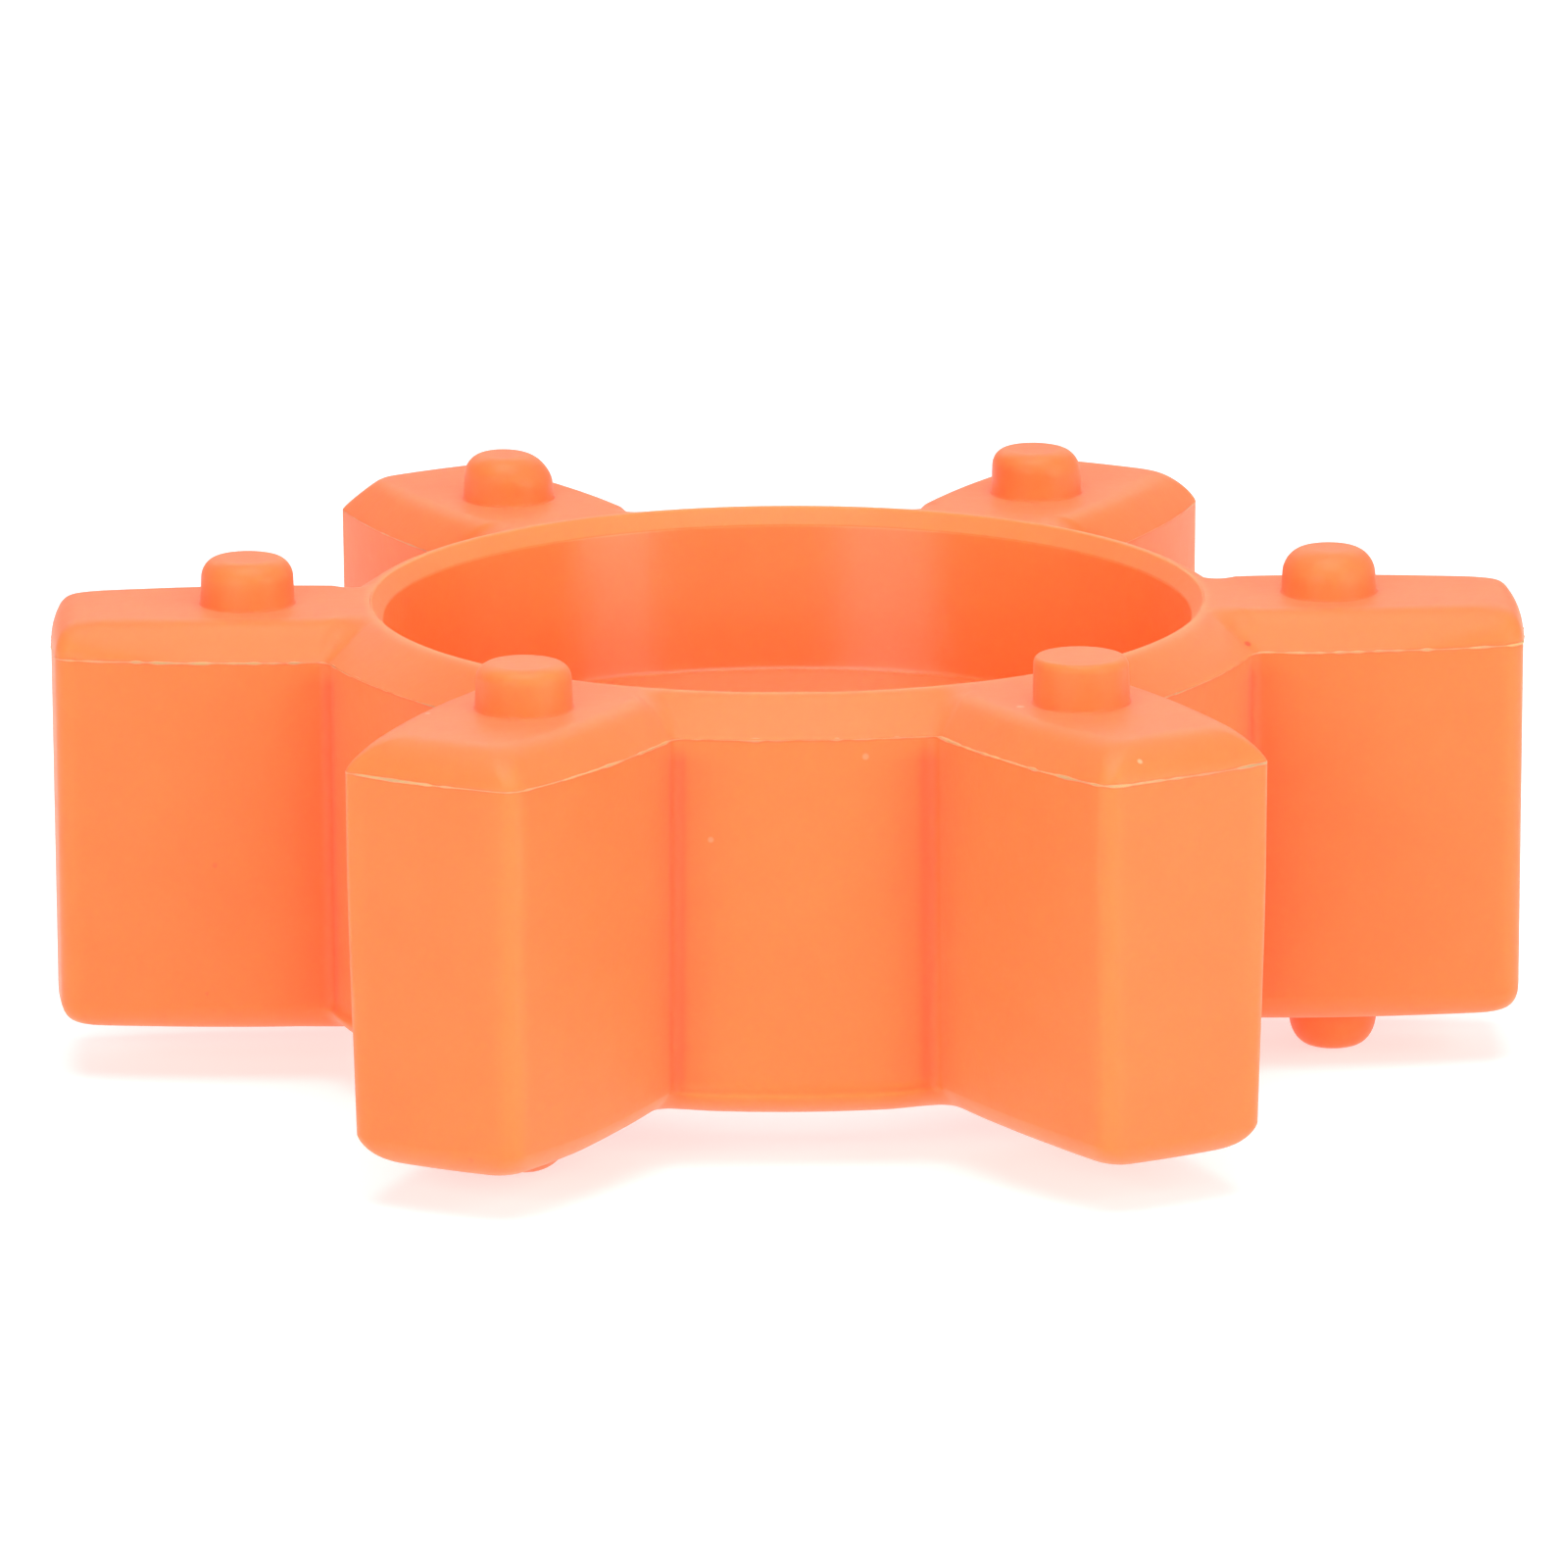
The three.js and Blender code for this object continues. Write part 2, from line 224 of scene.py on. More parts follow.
# ------------------------------------------------------------------ mesh building
class Soup:
    """Patches that are welded where their borders meet."""

    def __init__(self):
        self.v, self.f, self.n = [], [], 0

    def grid(self, rows, closed=True):
        rows = [np.asarray(r, float) for r in rows]
        m, n = len(rows), len(rows[0])
        self.v.append(np.vstack(rows))
        j, i = np.meshgrid(np.arange(m - 1), np.arange(n if closed else n - 1), indexing="ij")
        a = j * n + i
        b = j * n + (i + 1) % n
        c = (j + 1) * n + (i + 1) % n
        d = (j + 1) * n + i
        self.f.append(np.stack([a, b, c, d], -1).reshape(-1, 4) + self.n)
        self.n += m * n

    def build(self, name, bend=None, shades=None):
        v = np.vstack(self.v)
        f = np.vstack(self.f)
        key = np.round(v * 20000).astype(np.int64)
        _, first, back = np.unique(key, axis=0, return_index=True, return_inverse=True)
        back = back.reshape(-1)
        order = np.argsort(first)
        rank = np.empty_like(order)
        rank[order] = np.arange(len(order))
        v = v[first[order]]
        if bend is not None:
            v = bend(v)
        f = rank[back][f]
        faces = []
        for q in f:
            w = []
            for i in q:
                if not w or w[-1] != i:
                    w.append(int(i))
            if len(w) > 1 and w[0] == w[-1]:
                w.pop()
            if len(set(w)) >= 3 and len(set(w)) == len(w):
                faces.append(w)
        mesh = bpy.data.meshes.new(name)
        mesh.from_pydata((v * MM).tolist(), [], faces)
        mesh.validate()
        mesh.polygons.foreach_set("use_smooth", [True] * len(mesh.polygons))
        mesh.update()
        for key, values in (shades(v) if shades else {}).items():
            mesh.attributes.new(key, "FLOAT", "POINT").data.foreach_set("value", values.astype(np.float32))
        obj = bpy.data.objects.new(name, mesh)
        bpy.context.scene.collection.objects.link(obj)
        return obj


def lift(xy, z):
    return np.column_stack([xy, np.broadcast_to(z, len(xy))])


body = Soup()


# --- the outer skin: lower rim, lower chamfer, wall, upper chamfer, upper rim
def lower_row(u):
    xy = full(lambda k, s: half(k, s, INSET_FOOT + RUN_B * u, CORNER_BOTTOM * (1 - u) + FACE_CORNER_B * u,
                                ROOT_FILLET * (1 - u) + FACE_FILLET * u, u, RIDGE_B, 0.0))
    end = curve(u, 2.5, 1.44) * (1 - CRISP_B) + curve(u, 3.6, 2.0) * CRISP_B
    h = W_END * end + W_FLANK * curve(u, 2.4, 1.22) + W_RING * curve(u, 2.0, 1.9)
    return lift(xy, Z_FOOT - RISE_B * h)


def upper_row(u):
    xy = full(lambda k, s: half(k, s, INSET_TOP + (RUN - INSET_TOP) * u, CORNER_ROUND * (1 - u) + FACE_CORNER * u,
                                ROOT_FILLET * (1 - u) + FACE_FILLET * u, u, RIDGE))
    end = (0.6 * curve(u, 2.99, 1.54) + 0.4 * plane_then_round(u, 0.30, 0.80)) * (1 - CRISP) + curve(u, 4.2, 2.05) * CRISP
    end = end * (1 - FLAT_END) + (0.2 * curve(u, 2.99, 1.54) + 0.8 * plane_then_round(u, 0.46, 0.64)) * FLAT_END
    h = (W_END * end + W_FLANK * plane_then_round(u, 0.40, 0.78)
         + W_RING * plane_then_round(u, 0.80, 1.0))
    return lift(xy, Z_PARTING + RISE * h)


def wall_row(t):
    return lift(full(lambda k, s: half(k, s, INSET_FOOT + (INSET_TOP - INSET_FOOT) * t, CORNER_BOTTOM + (CORNER_ROUND - CORNER_BOTTOM) * t,
                                       ROOT_FILLET, trim=min(t * 1.6, 1.0))),
                Z_FOOT + (Z_PARTING - Z_FOOT) * t)


U_LOW = 1 - np.cos(np.linspace(0, math.pi / 2, 15))
U_UP = np.array([0.006, 0.02, 0.045, 0.08, 0.125, 0.175, 0.23, 0.285, 0.335, 0.385, 0.44, 0.50, 0.56, 0.62, 0.68, 0.74,
                 0.80, 0.86, 0.92, 0.965, 1.0])
lower_rows = [lower_row(u) for u in U_LOW[::-1]]
wall_rows = [wall_row(t) for t in (0.03, 0.12, 0.25, 0.4, 0.55, 0.7, 0.83, 0.93, 0.975, 0.992, 1.0)]
upper_rows = [upper_row(u) for u in U_UP]
body.grid(lower_rows + wall_rows + upper_rows)


# --- the flat leg faces, each with a nub
def nub_point(spec, phi, s):
    """Radius and height of a nub at bearing phi, s from 0 at its foot to 1 at its centre."""
    R, H = spec["r"], spec["h"]
    side = math.cos(phi - math.radians(spec.get("bearing", 0)))
    a = (1 + side) / 2
    a = a * a * (3 - 2 * a)
    wall = spec["wall"][0] * (1 - a) + spec["wall"][1] * a
    flat = spec["flat"][0] * (1 - a) + spec["flat"][1] * a
    power = spec["power"][0] * (1 - a) + spec["power"][1] * a
    foot = 0.12
    lift = foot if H > 0 else 0.0                  # a leg without a nub stays flat
    if s < 0.12:                                   # fillet at the foot
        t = s / 0.12 * math.pi / 2
        return R + foot * (1 - math.sin(t)), lift * (1 - math.cos(t))
    if s < 0.34:                                   # upright wall, slightly drafted
        t = (s - 0.12) / 0.22
        z = lift + (wall * H - lift) * t
        return R - 0.05 * t, z
    if s < 0.80:                                   # shoulder
        t = (s - 0.34) / 0.46 * math.pi / 2
        x = math.sin(t) ** (2 / power)
        y = math.cos(t) ** (2 / power)
        r0 = R - 0.05
        return flat * R + (r0 - flat * R) * y, wall * H + (H - wall * H) * x
    t = (s - 0.80) / 0.20
    return flat * R * (1 - t), H


NUB_S = [0.0, 0.03, 0.06, 0.09, 0.12, 0.18, 0.26, 0.34, 0.38, 0.42, 0.46, 0.50, 0.54, 0.58, 0.62, 0.66, 0.70, 0.74,
         0.77, 0.79, 0.80, 0.86, 0.93, 1.0]


def face_patch(leg, rim_row, z, up, spec, at, rim):
    """The flat face of one leg, from the chamfer's edge to the bore's rim, and its nub."""
    base = leg * SECTOR
    row = rim_row[base:base + SECTOR]
    row = np.vstack([row, rim_row[(base + SECTOR) % len(rim_row)]])
    mid = MID
    lo, hi = mid - FILLET_FROM, mid + FILLET_FROM     # where the fillets start, each side
    tip = row[lo:hi + 1]                              # round the leg's end
    # rows from the fillets' start to the rim: chord first, the rim's arc last
    rows = []
    ts = np.linspace(0, 1, ACROSS + 1)
    for j in range(N_ROOT + 1):
        p, q = row[lo - j], row[hi + j]
        chord = p[None] * (1 - ts[:, None]) + q[None] * ts[:, None]
        a0, a1 = math.atan2(p[1], p[0]), math.atan2(q[1], q[0])
        if a1 < a0:
            a1 += 2 * math.pi
        rad = np.hypot(p[0], p[1])
        an = a0 + (a1 - a0) * ts
        ark = np.stack([rad * np.cos(an), rad * np.sin(an), np.full(len(ts), z)], -1)
        m = (j / N_ROOT) ** 1.0
        line = chord * (1 - m) + ark * m
        line[0], line[-1], line[:, 2] = p, q, z
        line[0, 2], line[-1, 2] = p[2], q[2]
        rows.append(line)
    flip = rows if up else [r[::-1] for r in rows]
    body.grid(flip, closed=False)
    # ring of quads between the border and the nub
    border = np.vstack([tip, rows[0][::-1][1:-1]])    # closed loop
    c = np.append(turn(np.array([[at, 0.0]]), leg)[0], z)
    d = border - c
    ang = np.arctan2(d[:, 1], d[:, 0])
    ang = np.unwrap(ang)
    spokes = []
    bearing = leg * math.pi / 3
    for s in (0.0, 0.035, 0.12, 0.26, 0.42, 0.58, 0.74, 0.87):
        rr = []
        for i in range(len(border)):
            r_foot, _ = nub_point(spec, ang[i] - bearing, 0.0)
            circle = c + [r_foot * math.cos(ang[i]), r_foot * math.sin(ang[i]), 0]
            rr.append(border[i] * (1 - s) + circle * s)
        spokes.append(np.array(rr))
    sign = 1 if up else -1
    for s in NUB_S:
        rr = []
        for i in range(len(border)):
            r, h = nub_point(spec, ang[i] - bearing, s)
            x, y = r * math.cos(ang[i]), r * math.sin(ang[i])
            if spec.get("h", 0) > 0:
                tb = math.radians(spec.get("tilt_bearing", 0)) + bearing
                lean = (x * math.cos(tb) + y * math.sin(tb)) / spec["r"]
                h = h + spec.get("tilt", 0) * lean * max(h / spec["h"] - 0.3, 0) / 0.7
            rr.append(c + [x, y, sign * h])
        spokes.append(np.array(rr))
    if not up:
        spokes = [s[::-1] for s in spokes]
    body.grid(spokes, closed=True)
    return rows[-1]


NUBS = {
    0: dict(r=2.58, h=2.44, wall=(0.50, 0.34), flat=(0.46, 0.36), power=(2.0, 1.9), bearing=-90),
    1: dict(r=2.51, h=2.50, wall=(0.62, 0.46), flat=(0.62, 0.50), power=(2.1, 2.0), bearing=-60),
    2: dict(r=2.51, h=2.50, wall=(0.52, 0.34), flat=(0.52, 0.36), power=(2.0, 1.65), bearing=-120),
    3: dict(r=2.55, h=2.50, at=29.25, wall=(0.62, 0.52), flat=(0.62, 0.52), power=(2.0, 2.0), bearing=90),
    4: dict(r=2.59, h=2.46, wall=(0.70, 0.62), flat=(0.66, 0.62), power=(1.8, 2.2), bearing=120),
    5: dict(r=2.58, h=2.50, wall=(0.84, 0.78), flat=(0.88, 0.80), power=(2.0, 2.0), bearing=60),
}
NUBS_B = {
    0: dict(r=2.45, h=2.50, wall=(0.22, 0.22), flat=(0.42, 0.42), power=(2.15, 2.15)),
    2: dict(r=2.45, h=2.46, wall=(0.20, 0.20), flat=(0.40, 0.40), power=(2.0, 2.0)),
    4: dict(r=2.45, h=2.25, wall=(0.10, 0.10), flat=(0.20, 0.20), power=(1.95, 1.95)),
}
NO_NUB = dict(r=2.45, h=0.0, wall=(0.2, 0.2), flat=(0.4, 0.4), power=(2.0, 2.0))


def rim_loop(rim_row, arcs):
    """The closed rim: pocket stations and the arcs under the legs, in order."""
    out = []
    for k in range(LEGS):
        base = k * SECTOR
        seg = rim_row[base:base + SECTOR]
        lo, hi = MID - RIM_FROM, MID + RIM_FROM
        out.append(seg[:lo])                  # pocket, up to the fillet's end (not included)
        out.append(arcs[k])                   # under the leg, both ends included
        out.append(seg[hi + 1:])
    return np.vstack(out)


arcs_up = [face_patch(k, upper_rows[-1], Z_UPPER, True, NUBS[k], NUBS[k].get("at", NUB_AT), RIDGE) for k in range(LEGS)]
arcs_low = [face_patch(k, lower_rows[0], Z_LOWER, False, NUBS_B.get(k, NO_NUB), NUB_AT_B, RIDGE_B) for k in range(LEGS)]
rim_up = rim_loop(upper_rows[-1], arcs_up)
rim_low = rim_loop(lower_rows[0], arcs_low)


# --- the bore
def scaled(loop, r, z, blend_to=None, share=0.0):
    a = np.arctan2(loop[:, 1], loop[:, 0])
    if blend_to is not None:
        b = np.arctan2(blend_to[:, 1], blend_to[:, 0])
        d = (b - a + math.pi) % (2 * math.pi) - math.pi
        a = a + d * share
    return np.stack([r * np.cos(a), r * np.sin(a), np.full(len(a), z)], -1)


Z_LEDGE = Z_UPPER - LEDGE_DEPTH
section = []
rim_w, rim_d = RIDGE - BORE_UP, 1.08
crest, soft = 0.16, 0.12                              # a bevel with a rounded crest and a soft lower edge
slope = math.atan2(rim_d, rim_w)
for t in (0.1, 0.25, 0.45, 0.65, 0.85, 1.0):
    a = slope * t
    section.append((RIDGE - crest * math.sin(a), Z_UPPER - crest * (1 - math.cos(a))))
r_a, z_a = section[-1]
z_c = z_a - (r_a - BORE_UP) * math.tan(slope)         # where bevel and wall would meet
r_b, z_b = BORE_UP + soft * math.cos(slope), z_c + soft * math.sin(slope)
for t in (0.08, 0.25, 0.5, 0.75, 0.92):
    section.append((r_a + (r_b - r_a) * t, z_a + (z_b - z_a) * t))
for t in (0.0, 0.17, 0.33, 0.5, 0.67, 0.83, 1.0):
    p, q, w = (1 - t) ** 2, 2 * t * (1 - t), t * t
    section.append((p * r_b + (q + w) * BORE_UP, p * z_b + q * z_c + w * (z_c - soft)))
rim_d = Z_UPPER - section[-1][1]
for t in (0.06, 0.2, 0.4, 0.6, 0.8, 0.94):
    section.append((BORE_UP - DRAFT * t, Z_UPPER - rim_d - (LEDGE_DEPTH - rim_d - 0.12) * t))
for t in (0.0, 0.2, 0.4, 0.6, 0.8, 1.0):                                               # hollow corner at the shelf
    a = t * math.pi / 2
    section.append((BORE_UP - DRAFT - 0.25 * (1 - math.cos(a)), Z_LEDGE + 0.25 * (1 - math.sin(a))))
for t in (0.06, 0.15, 0.3, 0.5, 0.7, 0.85, 0.95):
    section.append((BORE_UP - DRAFT - 0.25 + (WEB_R + 0.35 - BORE_UP + DRAFT + 0.25) * t, Z_LEDGE - WEB_FALL * t))
for sgn, mid in ((1, Z_LEDGE - WEB_FALL), (-1, Z_LEDGE - WEB_T)):                     # rounded inner edge
    for t in ((0.0, 0.25, 0.5, 0.75, 1.0) if sgn > 0 else (1.0, 0.75, 0.5, 0.25, 0.0)):
        a = t * math.pi / 2
        section.append((WEB_R + 0.35 * (1 - math.sin(a)), mid - sgn * 0.35 * (1 - math.cos(a))))
Z_WEB = Z_LEDGE - WEB_T
for t in (0.1, 0.4, 0.7, 0.9):
    section.append((WEB_R + 0.35 + (BORE_LOW - 0.25 - WEB_R - 0.35) * t, Z_WEB))
for t in (0.0, 0.25, 0.5, 0.75, 1.0):
    a = t * math.pi / 2
    section.append((BORE_LOW - 0.25 * (1 - math.sin(a)), Z_WEB - 0.25 * (1 - math.cos(a))))
for t in (0.08, 0.2, 0.4, 0.6, 0.8, 0.94, 1.0):
    section.append((BORE_LOW - DRAFT * t, Z_WEB - 0.25 - (Z_WEB - 0.25 - Z_LOWER - 0.5) * t))
for t in (0.12, 0.3, 0.5, 0.7, 0.88, 1.0):                                             # lower rim
    a = t * math.pi / 2
    section.append((BORE_LOW - DRAFT + (LAND_B - BORE_LOW + DRAFT) * (1 - math.cos(a)), Z_LOWER + 0.45 * (1 - math.sin(a))))
section += [(LAND_B + 0.2, Z_LOWER), (RIDGE_B - 0.2, Z_LOWER)]
top_z, low_z = Z_LEDGE, Z_LOWER
rows = [rim_up]
for r, z in section:
    share = min(max((Z_LEDGE - z) / (Z_LEDGE - Z_LOWER - 0.5), 0.0), 1.0)
    rows.append(scaled(rim_up, r, z, rim_low, share))
rows.append(rim_low)
body.grid(rows)



def folded(v):
    """Each point's leg, side and place in the plan of that leg's counterclockwise half."""
    ang = np.arctan2(v[:, 1], v[:, 0])
    leg = np.round(ang / (math.pi / 3)).astype(int)
    loc = ang - leg * math.pi / 3
    r = np.hypot(v[:, 0], v[:, 1])
    return leg % LEGS, np.sign(loc), np.stack([r * np.cos(loc), r * np.abs(np.sin(loc))], -1), r, loc


def smooth(x, a, b):
    t = np.clip((x - a) / (b - a), 0, 1)
    return t * t * (3 - 2 * t)


def settle(v):
    """The lower face isn't quite flat: the two front legs hang a little at their ends."""
    leg, side, p, r, loc = folded(v)
    front = np.where(leg == 4, np.interp(r, [22.6, 26, 30, 33, 36, 40], [0, 0.08, -0.12, -0.32, -0.40, -0.44]),
                     np.interp(r, [22.6, 26, 30, 34, 38, 40], [0, 0.16, 0.12, 0.0, -0.20, -0.36]))
    left = np.interp(r, [22.6, 27, 40], [0, 0.14, 0.16])
    d = np.where((leg == 4) | (leg == 5), front, np.where(leg == 3, left, 0.0))
    d = d * (1 - smooth(np.abs(loc), math.radians(14), math.radians(19)))
    w = np.clip((Z_PARTING - v[:, 2]) / (Z_PARTING - Z_FOOT), 0, 1) * np.clip(v[:, 2] / Z_LOWER, 0, 1)
    v = v.copy()
    v[:, 2] += d * w
    return v


def shades(v):
    """Painted light kept as vertex attributes: a painted highlight, lighter, at the upright corners and crests, a
    lighter painted tone on the bore's bevel, and painted shade, deeper, in the hollow corners.
    """
    leg, side, p, r, loc = folded(v)
    z = v[:, 2]
    tip = np.array([TIP_RADIUS - TIP_CROWN - 0.42, TIP_HALF_WIDTH - 0.42])
    root = polar(ROOT_RADIUS, math.radians(ROOT_ANGLE)) + np.array([0.06, 0.44])
    at_tip = np.linalg.norm(p - tip, axis=1)
    at_root = np.linalg.norm(p - root, axis=1)
    wall = smooth(z, Z_LOWER, Z_LOWER + 3.0) * (1 - smooth(z, Z_PARTING + 0.6, Z_UPPER))
    # painted highlight: the upright corners at the leg ends and the ridge crest are made lighter
    corner = np.exp(-(at_tip / 0.95) ** 4) * wall
    crest_ = np.exp(-((r - RIDGE + 0.02) / 0.22) ** 2) * smooth(z, Z_UPPER - 0.4, Z_UPPER - 0.02) * (np.abs(loc) > math.radians(15))
    # painted shade: the hollow corners where the legs meet the ring are made deeper
    low = smooth(z, Z_LOWER + 0.6, Z_LOWER + 2.6) * (1 - smooth(z, Z_PARTING - 1.4, Z_PARTING - 0.1))
    hollow = (np.exp(-(at_root / 0.50) ** 4) + 0.45 * np.exp(-(at_root / 1.9) ** 2)) * low
    # painted light: the bore's bevel is made lighter
    bevel = smooth(r, BORE_UP + 0.01, BORE_UP + 0.08) * (1 - smooth(r, RIDGE + 0.02, RIDGE + 0.5)) * smooth(z, Z_UPPER - 1.3, Z_UPPER - 1.0)
    return {"painted_highlight": np.clip(corner + 0.8 * crest_, 0, 1), "hollow": np.clip(hollow, 0, 1), "rim": bevel}


spider = body.build("spider_body", settle, shades)

# ------------------------------------------------------------------ the parting flash
rng = np.random.default_rng(7)


def smooth_noise(n, step, count):
    """Periodic noise of n samples with features about step samples long."""
    out = np.zeros(n)
    for _ in range(count):
        k = max(int(n / step), 1)
        knots = rng.normal(size=k)
        x = np.arange(n) * k / n
        i = x.astype(int)
        t = x - i
        t = t * t * (3 - 2 * t)
        out += knots[i % k] * (1 - t) + knots[(i + 1) % k] * t
        step /= 2.2
    return out / count


line = full(lambda k, s: half(k, s, INSET_TOP, CORNER_ROUND, ROOT_FILLET))
seg = np.linalg.norm(np.roll(line, -1, 0) - line, axis=1)
total = seg.sum()
N_FLASH = 3600
at = np.concatenate([[0], np.cumsum(seg)])
closed = np.vstack([line, line[:1]])
want = np.arange(N_FLASH) * total / N_FLASH
px = np.interp(want, at, closed[:, 0])
py = np.interp(want, at, closed[:, 1])
tx, ty = np.roll(px, -1) - np.roll(px, 1), np.roll(py, -1) - np.roll(py, 1)
tn = np.hypot(tx, ty)
nx, ny = ty / tn, -tx / tn
proud = np.clip(0.040 + 0.040 * smooth_noise(N_FLASH, 110, 2) + 0.036 * smooth_noise(N_FLASH, 8, 2), 0.004, 0.084)
thick = np.clip(0.056 + 0.026 * smooth_noise(N_FLASH, 70, 2) + 0.022 * smooth_noise(N_FLASH, 6, 1), 0.025, 0.12)
rise = 0.018 * smooth_noise(N_FLASH, 40, 2)
bearing = (np.degrees(np.arctan2(py, px)) + 360) % 360
back = np.exp(-((bearing - 90) / 62) ** 8)               # hardly any round the two back legs
proud = proud * (1 - 0.7 * back)
thick = thick * (1 - 0.55 * back)
flash = Soup()
rows = []
for a in range(10):
    t = a / 10 * 2 * math.pi
    out = proud * max(math.cos(t), 0) ** 0.8 + (-0.14 * (-math.cos(t)) if math.cos(t) < 0 else 0.0)
    z = Z_PARTING - 0.02 + thick * math.sin(t) + rise
    rows.append(np.stack([px + nx * out, py + ny * out, z + np.zeros(N_FLASH)], -1))
rows.append(rows[0])
flash.grid(rows)
flash_obj = flash.build("parting_flash")

# ------------------------------------------------------------------ materials
SRGB = lambda c: tuple(((x / 255 + 0.055) / 1.055) ** 2.4 if x / 255 > 0.04045 else x / 255 / 12.92 for x in c)


def node(nt, kind, **inputs):
    n = nt.nodes.new(kind)
    for k, val in inputs.items():
        n.inputs[k.replace("_", " ")].default_value = val
    return n


def polyurethane(name, base, rough, tones=(), specks=(), sheen=0.10, turned=0.0, shine=0.32):
    m = bpy.data.materials.new(name)
    m.use_nodes = True
    nt = m.node_tree
    nt.nodes.clear()
    out = nt.nodes.new("ShaderNodeOutputMaterial")
    p = nt.nodes.new("ShaderNodeBsdfPrincipled")
    nt.links.new(p.outputs["BSDF"], out.inputs["Surface"])
    tc = nt.nodes.new("ShaderNodeTexCoord")
    # faint mottling of the cast skin
    mott = node(nt, "ShaderNodeTexNoise", Scale=210.0, Detail=4.0, Roughness=0.55)
    nt.links.new(tc.outputs["Object"], mott.inputs["Vector"])
    ramp = nt.nodes.new("ShaderNodeMix")
    ramp.data_type = "RGBA"
    ramp.inputs["A"].default_value = (*[c * 0.93 for c in base], 1)
    ramp.inputs["B"].default_value = (*[min(c * 1.06, 1.0) for c in base], 1)
    nt.links.new(mott.outputs["Fac"], ramp.inputs["Factor"])
    last = ramp.outputs["Result"]
    for at, size, colour, share in specks:
        away = nt.nodes.new("ShaderNodeVectorMath")
        away.operation = "DISTANCE"
        away.inputs[1].default_value = [c * MM for c in at]
        nt.links.new(tc.outputs["Object"], away.inputs[0])
        near = nt.nodes.new("ShaderNodeMapRange")
        near.interpolation_type = "SMOOTHSTEP"
        near.inputs["From Min"].default_value = size * MM
        near.inputs["From Max"].default_value = size * MM * 0.35
        near.inputs["To Min"].default_value = 0.0
        near.inputs["To Max"].default_value = share
        nt.links.new(away.outputs["Value"], near.inputs["Value"])
        mix = nt.nodes.new("ShaderNodeMix")
        mix.data_type = "RGBA"
        mix.inputs["B"].default_value = (*colour, 1)
        nt.links.new(last, mix.inputs["A"])
        nt.links.new(near.outputs["Result"], mix.inputs["Factor"])
        last = mix.outputs["Result"]
    # each tone mixes painted light, a painted highlight or painted shade, into the base colour by a vertex attribute
    for key, colour, share in tones:
        attr = nt.nodes.new("ShaderNodeAttribute")
        attr.attribute_name = key
        much = node(nt, "ShaderNodeMath")
        much.operation = "MULTIPLY"
        much.inputs[1].default_value = share
        nt.links.new(attr.outputs["Fac"], much.inputs[0])
        mix = nt.nodes.new("ShaderNodeMix")
        mix.data_type = "RGBA"
        mix.inputs["B"].default_value = (*colour, 1)
        nt.links.new(last, mix.inputs["A"])
        nt.links.new(much.outputs[0], mix.inputs["Factor"])
        last = mix.outputs["Result"]
    nt.links.new(last, p.inputs["Base Color"])
    p.inputs["Subsurface Weight"].default_value = 0.75
    p.inputs["Subsurface Radius"].default_value = (1.0, 0.32, 0.12)
    p.inputs["Subsurface Scale"].default_value = 0.0022
    p.inputs["Roughness"].default_value = rough
    p.inputs["IOR"].default_value = 1.46
    p.inputs["Specular IOR Level"].default_value = shine
    p.inputs["Sheen Weight"].default_value = sheen
    if turned:                                       # fine marks round the axis spread the shine up and down
        p.inputs["Anisotropic"].default_value = turned
        p.inputs["Anisotropic Rotation"].default_value = 0.25
        around = nt.nodes.new("ShaderNodeTangent")
        around.direction_type = "RADIAL"
        around.axis = "Z"
        nt.links.new(around.outputs["Tangent"], p.inputs["Tangent"])
    p.inputs["Sheen Roughness"].default_value = 0.55
    p.inputs["Sheen Tint"].default_value = (1.0, 0.92, 0.88, 1.0)
    fine = node(nt, "ShaderNodeTexNoise", Scale=900.0, Detail=5.0, Roughness=0.6)
    nt.links.new(tc.outputs["Object"], fine.inputs["Vector"])
    broad = node(nt, "ShaderNodeTexNoise", Scale=120.0, Detail=2.0, Roughness=0.5)
    nt.links.new(tc.outputs["Object"], broad.inputs["Vector"])
    b1 = node(nt, "ShaderNodeBump", Strength=0.12, Distance=0.0002)
    nt.links.new(fine.outputs["Fac"], b1.inputs["Height"])
    b2 = node(nt, "ShaderNodeBump", Strength=0.16, Distance=0.0006)
    nt.links.new(broad.outputs["Fac"], b2.inputs["Height"])
    nt.links.new(b1.outputs["Normal"], b2.inputs["Normal"])
    nt.links.new(b2.outputs["Normal"], p.inputs["Normal"])
    return m


ORANGE = (0.95, 0.170, 0.040)
PALE, DEEP, GREY = (1.0, 0.62, 0.42), (0.55, 0.04, 0.02), (0.45, 0.10, 0.04)
# small blemishes of the casting: place, radius, colour, share
SPECKS = [
    ((24.65, -5.96, 23.81), 0.26, DEEP, 0.75), ((25.05, -5.9, 23.95), 0.16, DEEP, 0.5),
    ((0.30, -22.50, 25.28), 0.16, PALE, 0.9), ((17.29, -35.27, 24.39), 0.20, PALE, 0.35),
    ((11.45, -26.39, 25.30), 0.30, PALE, 0.35), ((-19.79, -26.50, 25.29), 0.22, PALE, 0.35),
    ((-31.15, -6.22, 12.20), 0.20, GREY, 0.5), ((-31.65, -6.14, 5.04), 0.16, GREY, 0.4),
    ((-17.76, -35.34, 3.34), 0.22, GREY, 0.35), ((3.32, -25.27, 22.41), 0.24, PALE, 0.22),
    ((-4.87, -25.06, 17.93), 0.22, PALE, 0.22),
]
